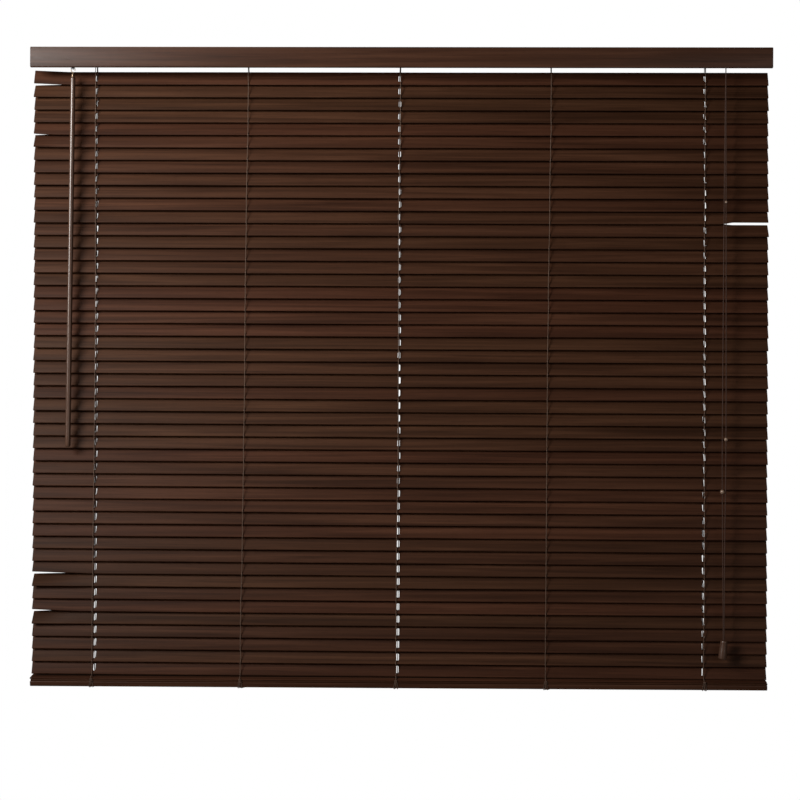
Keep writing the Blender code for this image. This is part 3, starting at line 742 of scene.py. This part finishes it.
def slot_cutters():
    """Upright prisms with round ends, for the lift cords."""
    mesh = bpy.data.meshes.new("slot_cutters")
    bm = bmesh.new()
    radius = SLOT_WIDTH / 2
    reach = SLOT_LENGTH / 2 - radius
    for x in LIFT_X:
        outline = []
        for start, centre in ((0, reach), (180, -reach)):
            for step in range(9):
                angle = math.radians(start + 180 * step / 8)
                outline.append((x + radius * math.cos(angle), centre + radius * math.sin(angle)))
        low = [bm.verts.new((px, py, -0.02)) for px, py in outline]
        high = [bm.verts.new((px, py, 0.02)) for px, py in outline]
        bm.faces.new(reversed(low))
        bm.faces.new(high)
        count = len(outline)
        for step in range(count):
            after = (step + 1) % count
            bm.faces.new((low[step], low[after], high[after], high[step]))
    bm.to_mesh(mesh)
    bm.free()
    made = bpy.data.objects.new("slot_cutters", mesh)
    bpy.context.scene.collection.objects.link(made)
    return made


def cut_slots(obj, cutter):
    cut = obj.modifiers.new("slots", "BOOLEAN")
    cut.operation = "DIFFERENCE"
    cut.solver = "EXACT"
    cut.object = cutter
    graph = bpy.context.evaluated_depsgraph_get()
    mesh = bpy.data.meshes.new_from_object(obj.evaluated_get(graph))
    obj.modifiers.clear()
    obj.data = mesh
    mesh.shade_smooth()
    mesh.set_sharp_from_angle(angle=SHARP_EDGE)
    return obj


def end_share(x, side, reach):
    """0 in the middle of a slat, rising to 1 at its left (-1) or right (+1) end over the last stretch."""
    start = SLAT_LENGTH / 2 - reach
    return max(0.0, (side * x - start) / reach)


# (slat, side, stretch, how far the end rises, how far it turns open in degrees, share taken up at once)
LOOSE_ENDS = (
    (1, -1, 0.058, 0.0025, 0.0, 1.0),
    (2, -1, 0.058, -0.0007, -10.0, 1.0),
    (5, -1, 0.033, 0.0018, -3.0, 1.0),
    (6, -1, 0.033, -0.0001, -10.0, 1.0),
    (12, 1, 0.078, 0.0030, -5.0, 0.2),
    (13, 1, 0.078, -0.0006, -12.0, 0.2),
    (40, -1, 0.117, 0.0030, -5.0, 1.0),
    (41, -1, 0.117, -0.0017, -20.0, 1.0),
    (43, -1, 0.074, 0.0030, -5.0, 1.0),
    (44, -1, 0.074, -0.0017, -20.0, 1.0),
)


def warped(co, number, bow, wave, twist):
    """A slat's point with its small bow, wave and twist, in the closed position."""
    x, across, through = co
    share = x / (SLAT_LENGTH / 2)
    angle = CLOSED_ANGLE + math.radians(twist * share)
    rise = bow * (1 - share * share) + wave * math.sin(share * 5.0 + number)
    for slat, side, reach, lift, opened, early in LOOSE_ENDS:
        if slat == number:
            part = min(1.0, end_share(x, side, reach) / early)
            rise += lift * part
            angle += math.radians(opened * part)
    y = across * math.cos(angle) - through * math.sin(angle)
    z = across * math.sin(angle) + through * math.cos(angle)
    return (x, SLAT_Y + y, FIRST_SLAT_Z - (number - 1) * SLAT_PITCH + z + rise)


def make_slats():
    outline = rounded_outline(SLAT_WIDTH, SLAT_THICKNESS, SLAT_EDGE_RADIUS, 4)
    pattern = board("slat_pattern", SLAT_LENGTH, outline, SLAT_END_INSET, 62, slat_wood)
    cutter = slot_cutters()
    cut_slots(pattern, cutter)
    count = len(pattern.data.vertices)
    base = [0.0] * (3 * count)
    pattern.data.vertices.foreach_get("co", base)
    uv_count = len(pattern.data.uv_layers["board"].data)
    base_uv = [0.0] * (2 * uv_count)
    pattern.data.uv_layers["board"].data.foreach_get("uv", base_uv)
    for index in range(SLAT_COUNT):
        number = index + 1
        name = f"slat_{number:02d}"
        mesh = pattern.data.copy()
        mesh.name = f"{name}_board"
        bow = chance.uniform(-0.00015, 0.00015)
        wave = chance.uniform(-0.0001, 0.0001)
        twist = chance.uniform(-0.8, 0.8)
        sideways = chance.uniform(-0.0004, 0.0004) + 0.0013 * min(1.0, max(0.0, (number - 6) / 12)) - 0.0006
        moved = []
        for point in range(count):
            x, y, z = warped(base[3 * point : 3 * point + 3], number, bow, wave, twist)
            moved += (x + sideways, y, z)
        mesh.vertices.foreach_set("co", moved)
        shift_u = chance.uniform(0.0, 3.0)
        shift_v = 0.11 * number
        shifted = []
        for pair in range(uv_count):
            shifted += (base_uv[2 * pair] + shift_u, base_uv[2 * pair + 1] + shift_v)
        mesh.uv_layers["board"].data.foreach_set("uv", shifted)
        mesh.update()
        slat = bpy.data.objects.new(f"{name}_board", mesh)
        bpy.context.scene.collection.objects.link(slat)
        set_tone(slat, chance.uniform(0.38, 0.62), chance.uniform(0.2, 0.75))
        attach(slat, name, "slat_wood", name)
        make_rungs(number, name, bow)
    bpy.data.objects.remove(pattern)
    bpy.data.objects.remove(cutter)


def make_rungs(number, body, bow):
    """The ladder rungs that carry one slat, one at each ladder, under its lower face."""
    pieces = []
    under = -SLAT_THICKNESS / 2 - 0.0006
    half = EDGE_ARM
    out = SLAT_THICKNESS / 2 + 0.0006
    for index, place in enumerate(LADDER_X):
        share = place / (SLAT_LENGTH / 2)
        middle = FIRST_SLAT_Z - (number - 1) * SLAT_PITCH
        x = place + drift_at(index, middle)
        middle += bow * (1 - share * share)
        flat = [(-half - out - 0.0003, 0.0), (-half - 0.86 * out, -0.5 * out)]
        flat += [(-half - 0.3 * out, -0.92 * out)]
        flat += [(-half * 0.6, under - 0.0001), (0.0, under - 0.0002), (half * 0.6, under - 0.0001)]
        flat += [(half + 0.3 * out, -0.92 * out), (half + 0.86 * out, -0.5 * out), (half + out + 0.0003, 0.0)]
        route = []
        for across, through in flat:
            y = across * math.cos(CLOSED_ANGLE) - through * math.sin(CLOSED_ANGLE)
            z = across * math.sin(CLOSED_ANGLE) + through * math.cos(CLOSED_ANGLE)
            route.append((x, SLAT_Y + y, middle + z))
        pieces.append(tube(f"rung_{number}", route, 0.00045, cord_fibre, 6))
    rungs = joined(f"slat_{number:02d}_rungs", pieces)
    attach(rungs, body, "cord_fibre")


# ---------------------------------------------------------------- ladder strings


# Where each ladder's strings hang sideways of its place, at seven even heights, in millimetres
LADDER_DRIFT = (
    (-2.0, -1.3, -0.3, -0.7, -1.3, -2.0, -3.0),
    (0.1, -1.9, -3.0, -3.4, -4.6, -6.0, -8.1),
    (0.8, -1.2, -1.0, -0.6, -0.3, -2.0, -2.1),
    (-2.4, -3.9, -5.4, -6.4, -6.9, -6.9, -7.5),
    (-0.7, -0.9, -0.5, 0.2, 0.6, 1.6, 1.4),
)


def drift_at(ladder, height):
    """How far a ladder's strings are sideways of their place at a height."""
    places = LADDER_DRIFT[ladder]
    step = (FIRST_SLAT_Z - height) / (FIRST_SLAT_Z - LAST_SLAT_Z) * len(places) - 0.5
    step = min(max(step, 0.0), len(places) - 1.001)
    before = int(step)
    share = step - before
    share = share * share * (3 - 2 * share)
    return 0.001 * (places[before] * (1 - share) + places[before + 1] * share)


def make_ladder_strings():
    for side, body in ((-1, "ladder_front"), (1, "ladder_back")):
        lift = 0 if side < 0 else STRING_TRAVEL
        edge_lift = side * EDGE_ARM * math.sin(CLOSED_ANGLE)
        y = SLAT_Y + side * STRING_OUT
        tail_y = SLAT_Y + side * TAIL_OUT
        top = HEADRAIL_FLOOR + 2 * STRING_RADIUS + lift
        knee = LAST_SLAT_Z - SLAT_REACH + lift
        tail_top = knee - (TAIL_OUT - STRING_OUT) * 0.25
        for index, x in enumerate(LADDER_X):
            route = []
            radii = []
            wobble = random.Random(100 + index)
            heights = [(top, 0), (FIRST_SLAT_Z + edge_lift + 0.006, 0)]
            for number in range(1, SLAT_COUNT + 1):
                level = FIRST_SLAT_Z - (number - 1) * SLAT_PITCH + edge_lift
                heights += [(level + 0.0016, 0), (level + 0.0007, 1)]
                heights += [(level - 0.0007, 1), (level - 0.0016, 0)]
            sway = 0.0
            heights = [pair for pair in heights if pair[0] > knee + 0.0025]
            for height, thick in heights:
                if not thick:
                    sway = wobble.uniform(-0.0003, 0.0003)
                route.append((x + drift_at(index, height) + sway, y, height))
                radii.append(0.00085 if thick else STRING_RADIUS)
            foot_x = route[-1][0]
            ends = [
                (foot_x, y + (tail_y - y) * 0.1, knee + 0.0006),
                (foot_x, tail_y - (tail_y - y) * 0.1, tail_top),
                (foot_x, tail_y, tail_top - 0.0012),
                (foot_x, tail_y, knee - STRING_TAIL),
            ]
            route += ends
            radii += [STRING_RADIUS] * len(ends)
            string = tube(f"{body}_string_{index + 1}", route, STRING_RADIUS, cord_fibre, 8, radii)
            attach(string, body, "cord_fibre", body)


# ---------------------------------------------------------------- lift cords


# The slats at which each cord goes over to the other side of its slots
CORD_CHANGES = (
    (1, 12, 17),
    (8, 24, 29),
    (1, 4, 7, 10, 13, 16, 21, 23, 28, 30, 34, 36, 39, 41, 45),
)
CORD_ASIDE = SLOT_WIDTH / 2 - CORD_RADIUS - 0.0001


def make_lift_cords():
    """The three cords from their knots under the rail, up through the slats, to the lock."""
    foot = RAIL_Z - STACK_HEIGHT / 2 + 2 * CORD_RADIUS
    run = CORD_RUN_Z
    for index, x in enumerate(LIFT_X):
        points = [(x, SLAT_Y, foot)]
        for number in range(SLAT_COUNT, 0, -1):
            changes = sum(1 for slat in CORD_CHANGES[index] if slat <= number)
            side = 1 if changes % 2 else -1
            height = FIRST_SLAT_Z - (number - 1) * SLAT_PITCH
            beside = side * drift_at(2 * index, height) + 0.0029
            aside = side * min(max(beside, 0.0009), CORD_ASIDE)
            points.append((x + aside, SLAT_Y, height))
        apart = 0.0017 * (index - 1)
        points += [(x, SLAT_Y, run - 0.004), (x + 0.0012, SLAT_Y + apart * 0.3, run - 0.0012)]
        points += [(x + 0.004, SLAT_Y + apart, run), (CORD_LOCK_X - 0.006, SLAT_Y + apart, run)]
        points += [(CORD_LOCK_X - 0.0014 + apart * 0.5, SLAT_Y - 0.0014 + apart * 0.5, run)]
        points += [(CORD_LOCK_X + apart, SLAT_Y - 0.006, run), (CORD_LOCK_X + apart, CONTROL_Y + 0.003, run)]
        points += [(CORD_LOCK_X + apart * 0.4, CONTROL_Y + 0.0006, run - 0.0006)]
        points += [(CORD_LOCK_X, CONTROL_Y, run - 0.0024)]
        cord = tube(f"lift_cord_{index + 1}", points, CORD_RADIUS, pull_fibre, 8)
        attach(cord, "root", "cord_fibre", "lift_cords")


# ---------------------------------------------------------------- bottom rail


# The rail hangs a little lower at its left end
RAIL_SLOPE = 0.0026
RAIL_RISE = 0.0005


def make_bottom_rail():
    centre = Vector((0, SLAT_Y, RAIL_Z + RAIL_RISE))
    turn = Matrix.Rotation(-RAIL_SLOPE, 4, "Y") @ Matrix.Rotation(RAIL_TILT, 4, "X")
    turn = Matrix.Translation(centre) @ turn
    base = -STACK_HEIGHT / 2
    cutter = slot_cutters()
    cutter.data.transform(Matrix.Diagonal((1, 0.5, 1, 1)))
    rail_outline = rounded_outline(RAIL_WIDTH, RAIL_HEIGHT, 0.0017, 5)
    rail = board("rail_board", RAIL_LENGTH, rail_outline, 0.0006, 40, board_wood, (0.3, 7.0))
    rail.data.transform(Matrix.Translation((0, 0, base + RAIL_HEIGHT / 2)))
    cut_slots(rail, cutter)
    set_tone(rail, 0.55, 0.45)
    place_mesh(rail, turn)
    attach(rail, "bottom_rail", "rail_wood", "bottom_rail")
    for index in range(2):
        outline = rounded_outline(SLAT_WIDTH, SLAT_THICKNESS, SLAT_EDGE_RADIUS, 4)
        shift = (0.7 * index, 8.0 + index)
        layer = board(f"stacked_slat_{index + 1}", SLAT_LENGTH, outline, SLAT_END_INSET, 40, slat_wood, shift)
        middle = base + RAIL_HEIGHT + STACK_GAP + SLAT_THICKNESS / 2 + index * (SLAT_THICKNESS + STACK_GAP)
        layer.data.transform(Matrix.Translation((0.0006 * (1 - 2 * index), 0.0002, middle)))
        cut_slots(layer, cutter)
        set_tone(layer, 0.45 + 0.2 * index, 0.6 - 0.3 * index)
        place_mesh(layer, turn)
        attach(layer, "bottom_rail", "rail_wood")
    bpy.data.objects.remove(cutter)
    make_rail_wraps(turn)


def make_rail_wraps(turn):
    """The ladder tapes wrapped under the rail, with their plugs."""
    under = -STACK_HEIGHT / 2
    half = RAIL_WIDTH / 2
    for index, x in enumerate(LADDER_X):
        shift = drift_at(index, RAIL_Z)
        for strand, lean in enumerate((-0.0014, 0.0016)):
            route = []
            for share in range(7):
                part = share / 6
                aside = x + shift + lean * (1 + 1.2 * part)
                route.append((aside, -half - 0.0008, under + 0.0148 * (1 - part)))
            route += [(x + shift + lean * 1.6, -half + 0.0006, under - 0.0007)]
            route += [(x + lean * 0.9, -half * 0.45, under - 0.0008)]
            route += [(x + lean * 0.4, -0.002, under - 0.0012)]
            wrap = tube(f"rail_wrap_{index + 1}_{strand + 1}", smooth_route(route, 2), 0.00055, cord_fibre, 7)
            place_mesh(wrap, turn)
            attach(wrap, "bottom_rail", "cord_fibre")
        profile = [(0, 0.0012), (0.0030, 0.0012), (0.0030, 0), (0.0046, 0), (0.0048, -0.0003)]
        profile += [(0.0044, -0.0010), (0.0016, -0.0013), (0.0013, -0.0006), (0, -0.0005)]
        plug = lathe(f"rail_plug_{index + 1}", profile, 28, brown_plastic)
        place_mesh(plug, turn @ Matrix.Translation((x, 0, under - 0.0001)))
        attach(plug, "bottom_rail", "control_plastic")


# ---------------------------------------------------------------- valance and headrail


def make_valance():
    low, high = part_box("valance")
    width = high[2] - low[2]
    depth = high[1] - low[1]
    outline = rounded_outline(depth, width, 0.0011, 5)
    valance = board("valance_board", high[0] - low[0], outline, 0.0006, 30, board_wood, (1.9, 9.0))
    set_tone(valance, 0.62, 0.40)
    middle = (Vector(low) + Vector(high)) / 2
    place_mesh(valance, Matrix.Translation(middle))
    attach(valance, "root", "rail_wood", "valance")
    clip_route = [(-0.0302, 0.0100), (-0.0330, 0.0124), (-0.0336, 0.0118), (-0.0338, -0.0060)]
    clip_route += [(-0.0345, -0.0085), (-0.0420, -0.0085), (-0.0434, -0.0075)]
    clip_route += [(-0.0437, -0.0050), (-0.0437, 0.0100)]
    for index, x in enumerate((-0.42, 0.0, 0.42)):
        clip = strip(f"valance_clip_{index + 1}", clip_route, x, 0.018, 0.0007, brown_plastic)
        attach(clip, "root", "control_plastic")


def strip(name, profile, x, width, thickness, material):
    """A bent strip: a profile in (y, z) given a width along X and a thickness."""
    corners = [(side, y, z) for y, z in profile for side in (x - width / 2, x + width / 2)]
    faces = [(2 * i, 2 * i + 1, 2 * i + 3, 2 * i + 2) for i in range(len(profile) - 1)]
    coords = [[(0, 0), (width, 0), (width, 0.01), (0, 0.01)]] * len(faces)
    made = mesh_from(name, corners, faces, coords, material, smooth=False)
    skin = made.modifiers.new("thickness", "SOLIDIFY")
    skin.thickness = thickness
    skin.offset = 0
    edge = made.modifiers.new("edge", "BEVEL")
    edge.width = 0.0002
    edge.segments = 2
    return made


def dress_cad():
    """Finishes and fine edges for the hard pieces that keep their CAD shape."""
    for name, material, width in (
        ("headrail", headrail_paint, 0.00025),
        ("tilter", brown_plastic, 0.0005),
        ("cord_lock", zinc_steel, 0.0004),
    ):
        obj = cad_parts[name]
        obj.data.materials.clear()
        obj.data.materials.append(material)
        edge = obj.modifiers.new("edge", "BEVEL")
        edge.width = width
        edge.segments = 2
        edge.limit_method = "ANGLE"
        edge.angle_limit = math.radians(40)


def make_headrail_fittings():
    for side, word in ((-1, "left"), (1, "right")):
        outline = rounded_outline(HEADRAIL_DEPTH - 0.0002, HEADRAIL_HEIGHT - 0.0002, 0.0012, 4)
        cap = board(f"end_cap_{word}", 0.0012, outline, 0.0003, 2, brown_plastic)
        place_mesh(cap, Matrix.Translation((side * (HEADRAIL_LENGTH / 2 + 0.0007), SLAT_Y, 0)))
        attach(cap, "root", "control_plastic")
    for index, x in enumerate(LADDER_X):
        for hand in (-1, 1):
            profile = [(SLAT_Y - 0.0150, 0.0060), (SLAT_Y - 0.0150, -0.0102), (SLAT_Y - 0.0030, -0.0102)]
            profile += [(SLAT_Y - 0.0030, -0.0040), (SLAT_Y + 0.0030, -0.0040), (SLAT_Y + 0.0030, -0.0102)]
            profile += [(SLAT_Y + 0.0150, -0.0102), (SLAT_Y + 0.0150, 0.0060)]
            name = f"cradle_{index + 1}_{'left' if hand < 0 else 'right'}"
            cradle = strip(name, profile, x + hand * 0.0090, 0.0030, 0.0010, drum_plastic)
            attach(cradle, "root", "control_plastic")
    roller_profile = [(0, 0.0038), (0.0022, 0.0038), (0.0026, 0.0034)]
    roller_profile += [(0.0026, -0.0034), (0.0022, -0.0038), (0, -0.0038)]
    roller = lathe("lock_roller", roller_profile, 32, zinc_steel)
    roller_place = Matrix.Translation((CORD_LOCK_X + 0.0062, SLAT_Y + 0.0004, -0.0015))
    place_mesh(roller, roller_place @ Matrix.Rotation(math.radians(90), 4, "X"))
    attach(roller, "root", "zinc_steel")


def make_tilt_rod():
    low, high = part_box("tilt_rod")
    square = rounded_outline(0.0050, 0.0050, 0.0005, 3)
    rod = board("tilt_rod_bar", high[0] - low[0], square, 0.0003, 8, zinc_steel)
    place_mesh(rod, Matrix.Translation(((low[0] + high[0]) / 2, SLAT_Y, ROD_Z)))
    attach(rod, "tilt_rod", "zinc_steel", "tilt_rod")
    hub = STRING_OUT - STRING_RADIUS - 0.0006
    along_x = Matrix.Rotation(math.radians(90), 4, "Y")
    for index, x in enumerate(LADDER_X):
        half = [(0.0027, 0.0036), (0.0048, 0.0036), (0.0050, 0.0033), (0.0050, 0.0030), (0.0082, 0.0030)]
        half += [(0.0085, 0.0027), (0.0085, 0.0021), (0.0082, 0.0018), (hub, 0.0017)]
        profile = half + [(radius, -height) for radius, height in reversed(half)] + half[:1]
        drum = lathe(f"drum_{index + 1}", profile, 36, drum_plastic)
        place_mesh(drum, Matrix.Translation((x, SLAT_Y, ROD_Z)) @ along_x)
        attach(drum, "tilt_rod", "control_plastic")
    wheel = gear("worm_wheel", 12, 0.0066, 0.0080, 0.0058)
    place_mesh(wheel, Matrix.Translation((TILTER_X, SLAT_Y, ROD_Z)) @ along_x)
    attach(wheel, "tilt_rod", "control_plastic")


def gear(name, teeth, root, tip, width):
    """A toothed wheel about Z with rounded tooth edges."""
    outline = []
    middle = (root + tip) / 2
    flank = ((0.0, root), (0.30, root), (0.42, middle), (0.50, tip), (0.80, tip), (0.88, middle))
    for tooth in range(teeth):
        for share, radius in flank:
            angle = 2 * math.pi * (tooth + share) / teeth
            outline.append((radius * math.cos(angle), radius * math.sin(angle)))
    count = len(outline)
    corners = []
    half = width / 2
    for height, scale in ((-half, 0.96), (-half + 0.0003, 1.0), (half - 0.0003, 1.0), (half, 0.96)):
        corners += [(x * scale, y * scale, height) for x, y in outline]
    faces = []
    coords = []
    for ring in range(3):
        for step in range(count):
            after = (step + 1) % count
            a = ring * count
            b = a + count
            faces.append((a + step, a + after, b + after, b + step))
            coords.append([(0, 0), (0.001, 0), (0.001, 0.001), (0, 0.001)])
    faces.append(tuple(reversed(range(count))))
    coords.append([(0, 0)] * count)
    faces.append(tuple(range(3 * count, 4 * count)))
    coords.append([(0, 0)] * count)
    return mesh_from(name, corners, faces, coords, drum_plastic)


# ---------------------------------------------------------------- wand


def make_wand():
    lean = Matrix.Rotation(WAND_LEAN, 4, "Y")
    eye = Matrix.Translation((TILTER_X, CONTROL_Y, EYE_Z))
    reach = 0.0032
    route = [(reach, -1.5 * reach), (reach, -0.5 * reach), (0.8 * reach, -0.12 * reach), (0.55 * reach, 0)]
    route += [(-x, z) for x, z in reversed(route)]
    route += [(-0.5 * reach, -2.2 * reach), (0, -2.5 * reach), (0, -HOOK_LENGTH + 0.002)]
    wire = tube("hook_wire", smooth_route([(x, 0, z) for x, z in route], 4), 0.0007, bronzed_wire, 12)
    place_mesh(wire, eye @ lean)
    attach(wire, "wand_hook", "hook_wire", "wand_hook")
    ferrule_profile = [(0, 0.0060), (0.0016, 0.0060), (0.0022, 0.0056), (0.0026, 0.0048)]
    ferrule_profile += [(0.0026, 0.0012), (0.0024, 0.0010), (0.0024, 0.0008), (0.0026, 0.0006)]
    ferrule_profile += [(0.0025, 0.0001), (0.0022, 0), (0, 0)]
    ferrule = lathe("hook_ferrule", ferrule_profile, 32, bronzed_wire)
    place_mesh(ferrule, eye @ lean @ Matrix.Translation((0, 0, -HOOK_LENGTH)))
    attach(ferrule, "wand_hook", "hook_wire")
    radius = WAND_RADIUS
    profile = [(0, -0.0018), (0.0016, -0.0016), (0.0020, -0.0002), (0.0024, 0)]
    profile += [(radius * 0.70, -0.0001), (radius * 0.88, -0.0008), (radius * 0.97, -0.0020)]
    stations = 40
    for step in range(stations + 1):
        share = step / stations
        profile.append((radius * (0.93 + 0.11 * share), -0.0036 - (WAND_LENGTH - 0.0072) * share))
    profile += [(radius * 0.95, -WAND_LENGTH + 0.0018), (radius * 0.85, -WAND_LENGTH + 0.0007)]
    profile += [(radius * 0.66, -WAND_LENGTH), (0, -WAND_LENGTH)]
    wand = lathe("wand_rod", profile, 32, turned_wood)
    set_tone(wand, 0.5, 0.45)
    place_mesh(wand, eye @ lean @ Matrix.Translation((0, 0, -HOOK_LENGTH - 0.0003)))
    attach(wand, "wand", "rail_wood", "wand")


set_stage()
make_pull_cord()
make_slats()
make_ladder_strings()
make_lift_cords()
make_bottom_rail()
make_valance()
dress_cad()
make_headrail_fittings()
make_tilt_rod()
make_wand()
